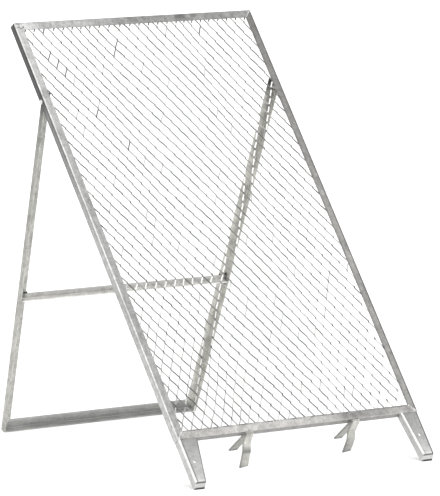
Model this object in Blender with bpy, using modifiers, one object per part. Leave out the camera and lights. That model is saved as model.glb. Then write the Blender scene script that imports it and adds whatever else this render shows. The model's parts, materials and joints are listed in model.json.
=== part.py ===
"""Throw-through garden sieve: an expanded-metal panel that leans back on a folding rear stand.

Metres, +Z up, floor at Z = 0.  The sieve's front faces -Y and its width runs along X.
Pieces of the panel are drawn in the panel's own frame: X across, Y into its depth, Z up its slope.
Pieces of the stand are drawn in the stand's frame: X along the hinge axis, Y back, Z up the legs.
"""
import math

import bmesh
import bpy
from mathutils import Matrix, Vector

GAP = 0.0003                             # left between pieces that touch

# Panel
PANEL_WIDTH = 0.600
PANEL_LENGTH = 1.000
PANEL_TILT = math.radians(37.4)          # leans back from the vertical
RAIL_FACE = 0.018                        # front flange of the frame's angle bars
RAIL_DEPTH = 0.017                       # outer flange, pointing back
WALL = 0.0025                            # thickness of every angle bar
FOLD_RADIUS = 0.0022
ROOT_RADIUS = 0.0012
TIP_RADIUS = 0.0005

# Expanded metal in the frame's window
MESH_FRONT = 0.0004
MESH_BACK = 0.0021
MESH_PITCH_X = 0.0464
MESH_PITCH_Z = 0.0824
MESH_STRAND = 0.003
MESH_BORDER = 0.0025
MESH_CUT_DEPTH = 0.015                   # of the prisms that open the diamonds

# Feet: tapering trays open at the back and the top
FOOT_WALL = 0.002
FOOT_FRONT_END = 0.100                   # length of the front face below the bottom rail
FOOT_BACK_END = 0.1115                   # the end wall slopes on to here
FOOT_OUTER_INSET = (0.0020, 0.0028)      # from the panel's side, at the top and at the end
FOOT_INNER_INSET = {"left": (0.0475, 0.0284), "right": (0.0425, 0.0295)}
FOOT_CORNER_RADIUS = 0.0035
FOOT_EDGE_RADIUS = 0.0026
FOOT_LAND_CUT = 0.0044                   # height trimmed off level with the floor
FOOT_HOLE_RADIUS = 0.003
FOOT_HOLE_INSET = 0.019
FOOT_HOLE_DROP = 0.053

# Hooks under the bottom rail, each of two flat strips that fork
HOOK_CENTRES = {"left": -0.1262, "right": 0.1393}
HOOK_WIDTH = 0.0195
HOOK_THICKNESS = 0.003
HOOK_BACK_LENGTHS = {"left": 0.0752, "right": 0.0780}
HOOK_FRONT_PATHS = {                     # depth and height of each bent strip's middle line
    "left": [(0.0012, -0.0052), (0.0190, -0.0112), (0.0320, -0.0278), (0.0629, -0.0494)],
    "right": [(0.0012, -0.0052), (0.0282, -0.0135), (0.0400, -0.0268), (0.0695, -0.0394)],
}
HOOK_BEND_REACH = 0.0048                 # from a bend's corner to where the bend starts
HOOK_BEND_STEPS = 4
HOOK_END_SLANT = math.tan(math.radians(9.0))  # the left corner is the longer one

# Stand
STAND_TILT = math.radians(18.64)         # of the legs, from the vertical
PIVOT_DROP = 0.189                       # below the panel's top edge, along its slope
PIVOT_DEPTH = 0.0125                     # behind the panel's front face
LEG_INSET = 0.0042                       # leg's outer face in from the rail's outer face at the pivot
LEG_TAPER = math.atan(0.0630)            # each leg leans inwards, seen from the front
STAND_BACK = 0.008                       # stand's back plane, behind the hinge axis
STAND_FACE = 0.0200                      # back flange of the legs
STAND_SIDE = 0.0165                      # flange pointing forwards
BOTTOM_BAR_FACE = 0.0225
NOSE_ANGLE = math.radians(27.6)          # chamfer on the front of each leg's top end
NOSE_REACH = 0.0076
CROSSBAR_DROP = 0.4582                   # hinge axis to the crossbar's underside
CROSSBAR_FACE = 0.0138

# Pivot bolts, washers and nuts
BOLT_RADIUS = 0.0025
BOLT_HOLE_RADIUS = BOLT_RADIUS + GAP
HEAD_RADIUS = 0.0052
HEAD_HEIGHT = 0.0029
BOLT_REACH = 0.0150                      # head's underside to the thread's end
WASHER_RADIUS = 0.0050
WASHER_THICKNESS = 0.0009
NUT_ACROSS_FLATS = 0.008
NUT_HEIGHT = 0.004
ROUND_STEPS = 24
CUTTER_LENGTH = 0.025                    # of the cylinders that drill holes

HALF_WIDTH = PANEL_WIDTH / 2
SIDES = {"left": -1, "right": 1}
FOLD_ANGLE = PANEL_TILT + STAND_TILT
PANEL_BASE_Z = (FOOT_BACK_END * math.cos(PANEL_TILT) + RAIL_DEPTH * math.sin(PANEL_TILT)
                - FOOT_LAND_CUT)
PIVOT_SLOPE = PANEL_LENGTH - PIVOT_DROP
PIVOT_Z = PANEL_BASE_Z + PIVOT_SLOPE * math.cos(PANEL_TILT) - PIVOT_DEPTH * math.sin(PANEL_TILT)
PIVOT_OFFSET_Y = PIVOT_SLOPE * math.sin(PANEL_TILT) + PIVOT_DEPTH * math.cos(PANEL_TILT)
STAND_FRONT = STAND_BACK - STAND_SIDE    # front edge of the stand's flanges, from the axis
LEG_LENGTH = (PIVOT_Z + STAND_FRONT * math.sin(STAND_TILT)) / math.cos(STAND_TILT)
LEG_STOCK = 2.2 * LEG_LENGTH             # bar that a leg is cut from, centred on the hinge
FRONT_OFFSET_Y = -FOOT_FRONT_END * math.sin(PANEL_TILT)
BACK_OFFSET_Y = (PIVOT_OFFSET_Y + LEG_LENGTH * math.sin(STAND_TILT)
                 + STAND_BACK * math.cos(STAND_TILT))
PANEL_Y = -(FRONT_OFFSET_Y + BACK_OFFSET_Y) / 2

X_AXIS = Vector((1, 0, 0))
Y_AXIS = Vector((0, 1, 0))
Z_AXIS = Vector((0, 0, 1))


def clear_scene():
    for obj in list(bpy.data.objects):
        bpy.data.objects.remove(obj, do_unlink=True)


def new_collection(name):
    collection = bpy.data.collections.new(name)
    bpy.context.scene.collection.children.link(collection)
    return collection


def new_empty(name, location, tilt):
    empty = bpy.data.objects.new(name, None)
    empty.location = location
    empty.rotation_euler = (tilt, 0, 0)
    bpy.context.scene.collection.objects.link(empty)
    return empty


def steel(name, shade, roughness):
    """Galvanised steel of one piece: shade is its grey level."""
    material = bpy.data.materials.new(name)
    material.use_nodes = True
    shader = material.node_tree.nodes["Principled BSDF"]
    shader.inputs["Base Color"].default_value = (shade, shade, shade * 0.97, 1)
    shader.inputs["Metallic"].default_value = 0.9
    shader.inputs["Roughness"].default_value = roughness
    return material


def add_piece(name, mesh, parent, shade=0.62, roughness=0.45):
    piece = bpy.data.objects.new(name, mesh)
    mesh.materials.clear()
    mesh.materials.append(steel(name, shade, roughness))
    piece.parent = parent
    bpy.data.collections["garden_sieve"].objects.link(piece)
    return piece


def add_cutter(name, mesh, parent):
    cutter = bpy.data.objects.new(name, mesh)
    cutter.parent = parent
    cutter.hide_render = True
    cutter.display_type = "WIRE"
    bpy.data.collections["cutters"].objects.link(cutter)
    return cutter


def boolean(piece, cutter, operation="DIFFERENCE"):
    modifier = piece.modifiers.new(cutter.name, "BOOLEAN")
    modifier.operation = operation
    modifier.solver = "EXACT"
    modifier.object = cutter


def evaluated_mesh(obj):
    """Mesh of an object after its modifiers or, for a curve, of its filled outline."""
    bpy.context.view_layer.update()
    graph = bpy.context.evaluated_depsgraph_get()
    return bpy.data.meshes.new_from_object(obj.evaluated_get(graph))


def welded(mesh):
    bm = bmesh.new()
    bm.from_mesh(mesh)
    bmesh.ops.remove_doubles(bm, verts=bm.verts, dist=0.000001)
    bmesh.ops.recalc_face_normals(bm, faces=bm.faces)
    bm.to_mesh(mesh)
    bm.free()
    return mesh


def arc(centre, radius, start, end, steps):
    points = []
    for i in range(steps + 1):
        angle = math.radians(start + (end - start) * i / steps)
        points.append((centre[0] + radius * math.cos(angle), centre[1] + radius * math.sin(angle)))
    return points


def extruded(outline, length):
    """Solid of a flat outline, centred on its plane, its length along Z."""
    curve = bpy.data.curves.new("outline", "CURVE")
    curve.dimensions = "2D"
    curve.fill_mode = "BOTH"
    curve.extrude = length / 2
    spline = curve.splines.new("POLY")
    spline.points.add(len(outline) - 1)
    for point, (a, b) in zip(spline.points, outline):
        point.co = (a, b, 0, 1)
    spline.use_cyclic_u = True
    source = bpy.data.objects.new("outline", curve)
    bpy.context.scene.collection.objects.link(source)
    mesh = welded(evaluated_mesh(source))
    bpy.data.objects.remove(source, do_unlink=True)
    return mesh


def angle_section(first, second):
    """Section of an angle bar with its corner at the origin and its flanges along +a and +b."""
    r = FOLD_RADIUS
    t = TIP_RADIUS
    root = WALL + ROOT_RADIUS
    return (arc((r, r), r, 180, 270, 5)
            + arc((first - t, t), t, 270, 360, 2)
            + arc((first - t, WALL - t), t, 0, 90, 2)
            + arc((root, root), ROOT_RADIUS, 270, 180, 3)
            + arc((WALL - t, second - t), t, 0, 90, 2)
            + arc((t, second - t), t, 90, 180, 2))


def angle_bar(first, second, a_axis, b_axis, corner, length):
    """Angle bar whose outer corner line passes through a point, its flanges along two axes."""
    mesh = extruded(angle_section(first, second), length)
    axes = Matrix((a_axis, b_axis, a_axis.cross(b_axis))).transposed()
    mesh.transform(Matrix.Translation(corner) @ axes.to_4x4())
    return mesh


def trim(mesh, point, normal):
    """Cut a solid with a plane, drop what lies on the normal's side and close the cut."""
    bm = bmesh.new()
    bm.from_mesh(mesh)
    cut = bmesh.ops.bisect_plane(bm, geom=bm.verts[:] + bm.edges[:] + bm.faces[:], dist=0.000001,
                                 plane_co=point, plane_no=normal, clear_outer=True)
    edges = [item for item in cut["geom_cut"] if isinstance(item, bmesh.types.BMEdge)]
    bmesh.ops.holes_fill(bm, edges=edges)
    bmesh.ops.recalc_face_normals(bm, faces=bm.faces)
    bm.to_mesh(mesh)
    bm.free()


def cylinder(radius, depth, matrix):
    mesh = bpy.data.meshes.new("cylinder")
    bm = bmesh.new()
    bmesh.ops.create_cone(bm, cap_ends=True, segments=ROUND_STEPS, radius1=radius, radius2=radius,
                          depth=depth, matrix=matrix)
    bm.to_mesh(mesh)
    bm.free()
    return mesh


def box(low, high):
    mesh = bpy.data.meshes.new("box")
    low = Vector(low)
    high = Vector(high)
    bm = bmesh.new()
    size = Matrix.Diagonal((high - low).to_4d())
    size[3][3] = 1
    bmesh.ops.create_cube(bm, size=1, matrix=Matrix.Translation((low + high) / 2) @ size)
    bm.to_mesh(mesh)
    bm.free()
    return mesh


def turned(profile):
    """Solid turned about Z from a profile of (radius, height) points."""
    mesh = bpy.data.meshes.new("profile")
    bm = bmesh.new()
    verts = [bm.verts.new((radius, 0, height)) for radius, height in profile]
    for first, second in zip(verts, verts[1:]):
        bm.edges.new((first, second))
    bm.to_mesh(mesh)
    bm.free()
    source = bpy.data.objects.new("profile", mesh)
    bpy.context.scene.collection.objects.link(source)
    screw = source.modifiers.new("turn", "SCREW")
    screw.steps = ROUND_STEPS
    screw.render_steps = ROUND_STEPS
    screw.use_merge_vertices = True
    screw.merge_threshold = 0.00001
    result = welded(evaluated_mesh(source))
    bpy.data.objects.remove(source, do_unlink=True)
    result.shade_smooth()
    result.set_sharp_from_angle(angle=math.radians(35))
    return result


def make_frame_rails(panel):
    """Four angle bars, mitred at the corners, with the pivot holes in the side rails."""
    top = Vector((0, 0, PANEL_LENGTH))
    middle = Vector((0, 0, PANEL_LENGTH / 2))
    left = Vector((-HALF_WIDTH, 0, 0))
    right = Vector((HALF_WIDTH, 0, 0))
    rails = {
        "left": angle_bar(RAIL_FACE, RAIL_DEPTH, X_AXIS, Y_AXIS, left + middle, PANEL_LENGTH),
        "right": angle_bar(RAIL_DEPTH, RAIL_FACE, Y_AXIS, -X_AXIS, right + middle, PANEL_LENGTH),
        "top": angle_bar(RAIL_FACE, RAIL_DEPTH, -Z_AXIS, Y_AXIS, top, PANEL_WIDTH),
        "bottom": angle_bar(RAIL_DEPTH, RAIL_FACE, Y_AXIS, Z_AXIS, Vector(), PANEL_WIDTH),
    }
    for side, sign in SIDES.items():
        for end, height, rise in (("bottom", 0, -1), ("top", PANEL_LENGTH, 1)):
            mitre = Vector((-sign, 0, rise)).normalized()
            corner = Vector((sign * HALF_WIDTH, 0, height))
            trim(rails[side], corner - mitre * GAP / 2, mitre)
            trim(rails[end], corner + mitre * GAP / 2, -mitre)
    for name, mesh in rails.items():
        rail = add_piece("frame_rail_" + name, mesh, panel)
        if name in SIDES:
            boolean(rail, pivot_hole_cutter("rail_hole_" + name, panel, SIDES[name],
                                            Vector((0, PIVOT_DEPTH, PIVOT_SLOPE))))


def pivot_hole_cutter(name, parent, sign, axis_point):
    """Cylinder along the hinge axis, long enough for one side's flange."""
    turn = Matrix.Rotation(math.pi / 2, 4, "Y")
    place = Matrix.Translation(axis_point + Vector((sign * HALF_WIDTH, 0, 0)))
    return add_cutter(name, cylinder(BOLT_HOLE_RADIUS, CUTTER_LENGTH, place @ turn), parent)


def make_sieve_mesh(panel):
    """Plate in the frame's window, opened by staggered diamonds inside a narrow border."""
    half_x = HALF_WIDTH - RAIL_FACE - GAP
    low_z = RAIL_FACE + GAP
    high_z = PANEL_LENGTH - RAIL_FACE - GAP
    sieve = add_piece("sieve_mesh", box((-half_x, MESH_FRONT, low_z), (half_x, MESH_BACK, high_z)),
                      panel)
    zone = add_cutter("diamond_zone",
                      box((-half_x + MESH_BORDER, -MESH_CUT_DEPTH, low_z + MESH_BORDER),
                          (half_x - MESH_BORDER, MESH_CUT_DEPTH, high_z - MESH_BORDER)), panel)
    holes = add_cutter("diamonds", diamond_prisms(half_x, low_z, high_z), panel)
    boolean(holes, zone, "INTERSECT")
    boolean(sieve, holes)


def diamond_prisms(half_x, low_z, high_z):
    """Prisms along Y with a diamond section, long way up the slope, one for each opening."""
    half_long = MESH_PITCH_Z / 2
    half_short = MESH_PITCH_X / 2
    reach = half_long * half_short / math.hypot(half_long, half_short)
    shrink = (reach - MESH_STRAND / 2) / reach
    shape = Matrix.Diagonal((half_short * shrink, 1, half_long * shrink, 1))
    turn = Matrix.Rotation(math.pi / 2, 4, "X")
    middle_z = (low_z + high_z) / 2
    columns = math.ceil(half_x / half_short)
    rows = math.ceil((high_z - middle_z) / half_long)
    mesh = bpy.data.meshes.new("diamonds")
    bm = bmesh.new()
    for column in range(-columns, columns + 1):
        for row in range(-rows, rows + 1):
            if (column + row) % 2:
                continue
            place = Matrix.Translation((column * half_short, 0, middle_z + row * half_long))
            bmesh.ops.create_cone(bm, cap_ends=True, segments=4, radius1=1, radius2=1,
                                  depth=MESH_CUT_DEPTH, matrix=place @ shape @ turn)
    bm.to_mesh(mesh)
    bm.free()
    return mesh


def make_feet(panel):
    """Pressed trays under the frame's lower corners, trimmed level with the rail and the floor."""
    up = Vector((0, -math.sin(PANEL_TILT), math.cos(PANEL_TILT)))
    for side, sign in SIDES.items():
        tray = add_piece("foot_" + side, foot_tray(side, sign), panel)
        shell = tray.modifiers.new("wall", "SOLIDIFY")
        shell.thickness = FOOT_WALL
        shell.offset = -1
        shell.use_even_offset = True
        tray.data = evaluated_mesh(tray)
        tray.modifiers.clear()
        trim(tray.data, -up * PANEL_BASE_Z, -up)
        trim(tray.data, -Z_AXIS * GAP, Z_AXIS)
        place = Matrix.Translation((sign * (HALF_WIDTH - FOOT_HOLE_INSET), 0, -FOOT_HOLE_DROP))
        turn = Matrix.Rotation(math.pi / 2, 4, "X")
        hole = cylinder(FOOT_HOLE_RADIUS, CUTTER_LENGTH, place @ turn)
        boolean(tray, add_cutter("foot_hole_" + side, hole, panel))


def foot_tray(side, sign):
    """Open surface of a foot: front face, two sides and the sloping end, with rounded folds."""
    mesh = bpy.data.meshes.new("foot")
    bm = bmesh.new()
    bmesh.ops.create_cube(bm, size=1)
    for vert in bm.verts:
        outer, back, end = vert.co.x * sign > 0, vert.co.y > 0, vert.co.z < 0
        inset = FOOT_OUTER_INSET[end] if outer else FOOT_INNER_INSET[side][end]
        reach = FOOT_BACK_END if back else FOOT_FRONT_END
        vert.co = (sign * (HALF_WIDTH - inset), RAIL_DEPTH * back, -reach if end else -GAP)
    bmesh.ops.recalc_face_normals(bm, faces=bm.faces)
    bm.faces.ensure_lookup_table()
    opened = [face for face in bm.faces if face.normal.y > 0.9 or face.normal.z > 0.9]
    bmesh.ops.delete(bm, geom=opened, context="FACES_ONLY")
    end_corners = [edge for edge in bm.edges if not edge.is_boundary and end_edge(edge)]
    bmesh.ops.bevel(bm, geom=end_corners, offset=FOOT_CORNER_RADIUS, segments=4, profile=0.5,
                    affect="EDGES", clamp_overlap=True)
    folds = [edge for edge in bm.edges if not edge.is_boundary and front_edge(edge)]
    bmesh.ops.bevel(bm, geom=folds, offset=FOOT_EDGE_RADIUS, segments=3, profile=0.5,
                    affect="EDGES", clamp_overlap=True)
    bm.to_mesh(mesh)
    bm.free()
    return mesh


def end_edge(edge):
    """True for the two edges between a foot's sides and its end wall."""
    return all(vert.co.z < -FOOT_FRONT_END / 2 for vert in edge.verts) and not flat_edge(edge)


def front_edge(edge):
    return all(vert.co.y < RAIL_DEPTH / 100 for vert in edge.verts)


def flat_edge(edge):
    return abs(edge.verts[0].co.y - edge.verts[1].co.y) < RAIL_DEPTH / 2


def make_hooks(panel):
    """Two forks under the bottom rail: one prong along its flange, one bent down and back."""
    for side, centre in HOOK_CENTRES.items():
        half = HOOK_WIDTH / 2
        back = box((centre - half, GAP, -GAP - HOOK_THICKNESS),
                   (centre + half, HOOK_BACK_LENGTHS[side], -GAP))
        add_piece("hook_back_prong_" + side, back, panel, shade=0.6)
        line = HOOK_FRONT_PATHS[side]
        path = rounded_path(line)
        front = extruded(strip_outline(path, HOOK_THICKNESS), HOOK_WIDTH)
        axes = Matrix((Y_AXIS, Z_AXIS, X_AXIS)).transposed()
        front.transform(Matrix.Translation((centre, 0, 0)) @ axes.to_4x4())
        tip = Vector((centre, *line[-1]))
        along = (tip - Vector((centre, *line[-2]))).normalized()
        slant = (along + X_AXIS * HOOK_END_SLANT).normalized()
        trim(front, tip - along * HOOK_END_SLANT * half, slant)
        add_piece("hook_front_prong_" + side, front, panel, shade=0.6)


def rounded_path(points):
    """Polyline whose inner corners are replaced by short curves."""
    path = [Vector(points[0])]
    for before, corner, after in zip(points, points[1:], points[2:]):
        corner = Vector(corner)
        enter = corner + (Vector(before) - corner).normalized() * HOOK_BEND_REACH
        leave = corner + (Vector(after) - corner).normalized() * HOOK_BEND_REACH
        for i in range(HOOK_BEND_STEPS + 1):
            s = i / HOOK_BEND_STEPS
            path.append(enter * (1 - s) ** 2 + corner * 2 * s * (1 - s) + leave * s ** 2)
    path.append(Vector(points[-1]))
    return path


def strip_outline(path, thickness):
    """Closed outline of a strip that follows a path, half its thickness to each side."""
    left = []
    right = []
    for i, point in enumerate(path):
        along = path[min(i + 1, len(path) - 1)] - path[max(i - 1, 0)]
        across = Vector((-along.y, along.x)).normalized() * thickness / 2
        left.append(tuple(point + across))
        right.append(tuple(point - across))
    return left + right[::-1]


def leg_line(sign):
    """Outer corner line of a leg: the point at the hinge's height and the direction upwards."""
    start = Vector((sign * (HALF_WIDTH - LEG_INSET), STAND_BACK, 0))
    upwards = Vector((sign * math.sin(LEG_TAPER), 0, math.cos(LEG_TAPER)))
    return start, upwards


def make_stand(stand):
    """Two tapering legs mitred to a bottom bar, tied by a crossbar between them."""
    depth_axis = Vector((0, math.cos(FOLD_ANGLE), -math.sin(FOLD_ANGLE)))
    nose_axis = Vector((0, -math.cos(NOSE_ANGLE), math.sin(NOSE_ANGLE)))
    foot_x = HALF_WIDTH - LEG_INSET - LEG_LENGTH * math.tan(LEG_TAPER)
    bar = angle_bar(BOTTOM_BAR_FACE, STAND_SIDE, Z_AXIS, -Y_AXIS,
                    Vector((0, STAND_BACK, -LEG_LENGTH)), 2 * foot_x)
    for side, sign in SIDES.items():
        start, upwards = leg_line(sign)
        inwards = Vector((-sign * math.cos(LEG_TAPER), 0, math.sin(LEG_TAPER)))
        if side == "left":
            leg = angle_bar(STAND_SIDE, STAND_FACE, -Y_AXIS, inwards, start, LEG_STOCK)
        else:
            leg = angle_bar(STAND_FACE, STAND_SIDE, inwards, -Y_AXIS, start, LEG_STOCK)
        corner = Vector((sign * foot_x, STAND_BACK, -LEG_LENGTH))
        mitre = (-sign * X_AXIS - upwards).normalized()
        trim(leg, corner - mitre * GAP / 2, mitre)
        trim(bar, corner + mitre * GAP / 2, -mitre)
        trim(leg, -depth_axis * (PIVOT_DEPTH - WALL - GAP), -depth_axis)
        trim(leg, nose_axis * NOSE_REACH, nose_axis)
        piece = add_piece("stand_leg_" + side, leg, stand, shade=0.6)
        boolean(piece, pivot_hole_cutter("leg_hole_" + side, stand, sign, Vector()))
    add_piece("stand_bottom_bar", bar, stand, shade=0.6)
    add_piece("stand_crossbar", crossbar(), stand, shade=0.6)


def crossbar():
    """Angle bar inside the legs' angles, lying on their back flanges, its ends cut to their slope."""
    back = STAND_BACK - WALL - GAP
    start = Vector((0, back, -CROSSBAR_DROP))
    bar = angle_bar(CROSSBAR_FACE, back - STAND_FRONT, Z_AXIS, -Y_AXIS, start, PANEL_WIDTH)
    for sign in SIDES.values():
        start, upwards = leg_line(sign)
        outwards = Vector((sign * math.cos(LEG_TAPER), 0, -math.sin(LEG_TAPER)))
        trim(bar, start - outwards * (WALL + ROOT_RADIUS + GAP), outwards)
    return bar


def make_pivots(panel):
    """A domed bolt through each side rail and leg, with a washer between them and a nut inside."""
    for side, sign in SIDES.items():
        inwards = Matrix.Rotation(-sign * math.pi / 2, 4, "Y")
        add_fastener("pivot_bolt_" + side, bolt_mesh(), panel, inwards, sign, -GAP)
        add_fastener("pivot_washer_" + side, washer_mesh(), panel, inwards, sign, WALL + GAP)
        seat = LEG_INSET + WALL + NUT_ACROSS_FLATS / 2 * math.tan(LEG_TAPER) + 2 * GAP
        add_fastener("pivot_nut_" + side, nut_mesh(), panel, inwards, sign, seat)


def add_fastener(name, mesh, panel, turn, sign, inset):
    """Place a fastener drawn along +Z so that it points inwards along the hinge axis."""
    piece = add_piece(name, mesh, panel, shade=0.7, roughness=0.3)
    place = Matrix.Translation((sign * (HALF_WIDTH - inset), PIVOT_DEPTH, PIVOT_SLOPE))
    piece.matrix_local = place @ turn


def bolt_mesh():
    """Domed head below Z = 0, round shank above it up to the thread's end."""
    chamfer = 0.0006
    dome = arc((0, 0), 1, 0, -90, 5)
    profile = [(0, BOLT_REACH), (BOLT_RADIUS - chamfer, BOLT_REACH),
               (BOLT_RADIUS, BOLT_REACH - chamfer), (BOLT_RADIUS, 0)]
    profile += [(HEAD_RADIUS * a, HEAD_HEIGHT * b) for a, b in dome[:-1]] + [(0, -HEAD_HEIGHT)]
    return turned(profile)


def washer_mesh():
    inner, outer, high = BOLT_HOLE_RADIUS, WASHER_RADIUS, WASHER_THICKNESS
    return turned([(outer, high), (outer, 0), (inner, 0), (inner, high), (outer, high)])


def nut_mesh():
    """Hexagonal nut, its bore along Z, standing on Z = 0."""
    mesh = bpy.data.meshes.new("nut")
    corner_radius = NUT_ACROSS_FLATS / math.sqrt(3)
    bm = bmesh.new()
    bmesh.ops.create_cone(bm, cap_ends=True, segments=6, radius1=corner_radius,
                          radius2=corner_radius, depth=NUT_HEIGHT,
                          matrix=Matrix.Translation((0, 0, NUT_HEIGHT / 2)))
    bm.to_mesh(mesh)
    bm.free()
    blank = bpy.data.objects.new("blank", mesh)
    bpy.context.scene.collection.objects.link(blank)
    bore = add_cutter("nut_bore", cylinder(BOLT_HOLE_RADIUS, CUTTER_LENGTH, Matrix.Identity(4)), None)
    boolean(blank, bore)
    result = evaluated_mesh(blank)
    bpy.data.objects.remove(blank, do_unlink=True)
    bpy.data.objects.remove(bore, do_unlink=True)
    return result


def main():
    clear_scene()
    new_collection("garden_sieve")
    new_collection("cutters")
    panel = new_empty("panel", (0, PANEL_Y, PANEL_BASE_Z), -PANEL_TILT)
    stand = new_empty("stand", (0, PANEL_Y + PIVOT_OFFSET_Y, PIVOT_Z), STAND_TILT)
    make_frame_rails(panel)
    make_sieve_mesh(panel)
    make_feet(panel)
    make_hooks(panel)
    make_stand(stand)
    make_pivots(panel)


main()
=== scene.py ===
"""Looks of the garden sieve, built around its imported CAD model. Metres, +Z up, floor at Z = 0."""
import json
import math
import random

import bmesh
import bpy
from mathutils import Matrix, Vector, noise


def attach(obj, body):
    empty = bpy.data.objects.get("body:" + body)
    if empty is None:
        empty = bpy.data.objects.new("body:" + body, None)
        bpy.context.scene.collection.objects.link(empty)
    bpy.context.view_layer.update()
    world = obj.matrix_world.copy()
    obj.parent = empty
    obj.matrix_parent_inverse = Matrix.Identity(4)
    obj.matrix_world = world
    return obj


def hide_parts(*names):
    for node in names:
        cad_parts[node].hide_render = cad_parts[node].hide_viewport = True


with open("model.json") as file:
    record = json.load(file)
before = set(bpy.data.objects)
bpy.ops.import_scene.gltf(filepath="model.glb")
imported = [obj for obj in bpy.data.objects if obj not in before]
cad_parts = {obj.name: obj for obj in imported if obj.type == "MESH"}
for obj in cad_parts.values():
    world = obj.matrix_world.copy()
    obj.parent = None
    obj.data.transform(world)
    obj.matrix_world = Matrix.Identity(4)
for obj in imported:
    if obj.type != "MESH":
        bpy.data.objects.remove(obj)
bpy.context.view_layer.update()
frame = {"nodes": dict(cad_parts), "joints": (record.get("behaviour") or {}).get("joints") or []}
NODES = frame["nodes"]

# ---------------------------------------------------------------- the object's own frames
PANEL_TILT = math.radians(37.4)          # the panel leans back, the stand forwards
STAND_TILT = math.radians(18.64)
PANEL_LENGTH = 1.000
HALF_WIDTH = 0.300
RAIL_FACE = 0.018
RAIL_DEPTH = 0.017
WALL = 0.0025
PIVOT_SLOPE = 0.811                      # the hinge's place, from the panel's lower front edge
PIVOT_DEPTH = 0.0125
LEG_TOP_X = 0.2958                       # outer line of a leg at the hinge's height
LEG_TAPER = 0.0630                       # its lean, as a slope
LEG_LENGTH = 0.768790
STAND_BACK = 0.008
STAND_FACE = 0.0200
STAND_SIDE = 0.0165
BOTTOM_BAR_FACE = 0.0225
CROSSBAR_DROP = 0.4582
CROSSBAR_FACE = 0.0138
CROSSBAR_END = 0.0040                    # from a leg's outer line to the crossbar's end
FOOT_END = 0.100
FOOT_OUTER = (0.0020, 0.0028)            # from the frame's side to the foot's, at its two ends
FOOT_INNER = {"left": (0.0475, 0.0284), "right": (0.0425, 0.0295)}
HOOK_CENTRES = {"left": -0.1262, "right": 0.1393}
HOOK_WIDTH = 0.0195
SIDES = {"left": -1, "right": 1}

HINGE = Vector(next(j for j in frame["joints"] if j["name"] == "stand_fold")["pos_m"])
SLOPE = Vector((0, math.sin(PANEL_TILT), math.cos(PANEL_TILT)))
DEPTH = Vector((0, math.cos(PANEL_TILT), -math.sin(PANEL_TILT)))
ORIGIN = HINGE - SLOPE * PIVOT_SLOPE - DEPTH * PIVOT_DEPTH
LEG_UP = Vector((0, -math.sin(STAND_TILT), math.cos(STAND_TILT)))
LEG_BACK = Vector((0, math.cos(STAND_TILT), math.sin(STAND_TILT)))


def on_panel(x, depth, v):
    """Point of the panel: across, behind its front plane and up its slope."""
    return Vector((x, 0, 0)) + ORIGIN + DEPTH * depth + SLOPE * v


def on_stand(x, back, up):
    """Point of the stand: across, behind the hinge and up along the legs."""
    return Vector((x, 0, 0)) + HINGE + LEG_BACK * back + LEG_UP * up


# ---------------------------------------------------------------- grey levels
METALLIC = 0.55
LIGHT = 1.42                             # light that a plain face gets from floor, world and sun
BRIGHTEST = 0.95                         # highest base colour
WARM = (1.012, 1.0, 0.962)
PINK = (1.026, 0.998, 0.966)
OLIVE = (1.006, 1.0, 0.93)
GREEN = (1.0, 1.003, 0.972)
COOL = (1.0, 1.0, 0.98)


def linear(shade):
    """Linear value of a display grey."""
    return ((shade + 0.055) / 1.055) ** 2.4 if shade > 0.04 else shade / 12.92


def level(shade, light=LIGHT):
    """Base colour of a face that should show a display grey."""
    return min(BRIGHTEST, linear(shade) / light)


def levels(*stops, light=LIGHT):
    """Stops of a ramp, from (position, display grey) pairs."""
    return [(position, level(shade, light)) for position, shade in stops]


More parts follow.
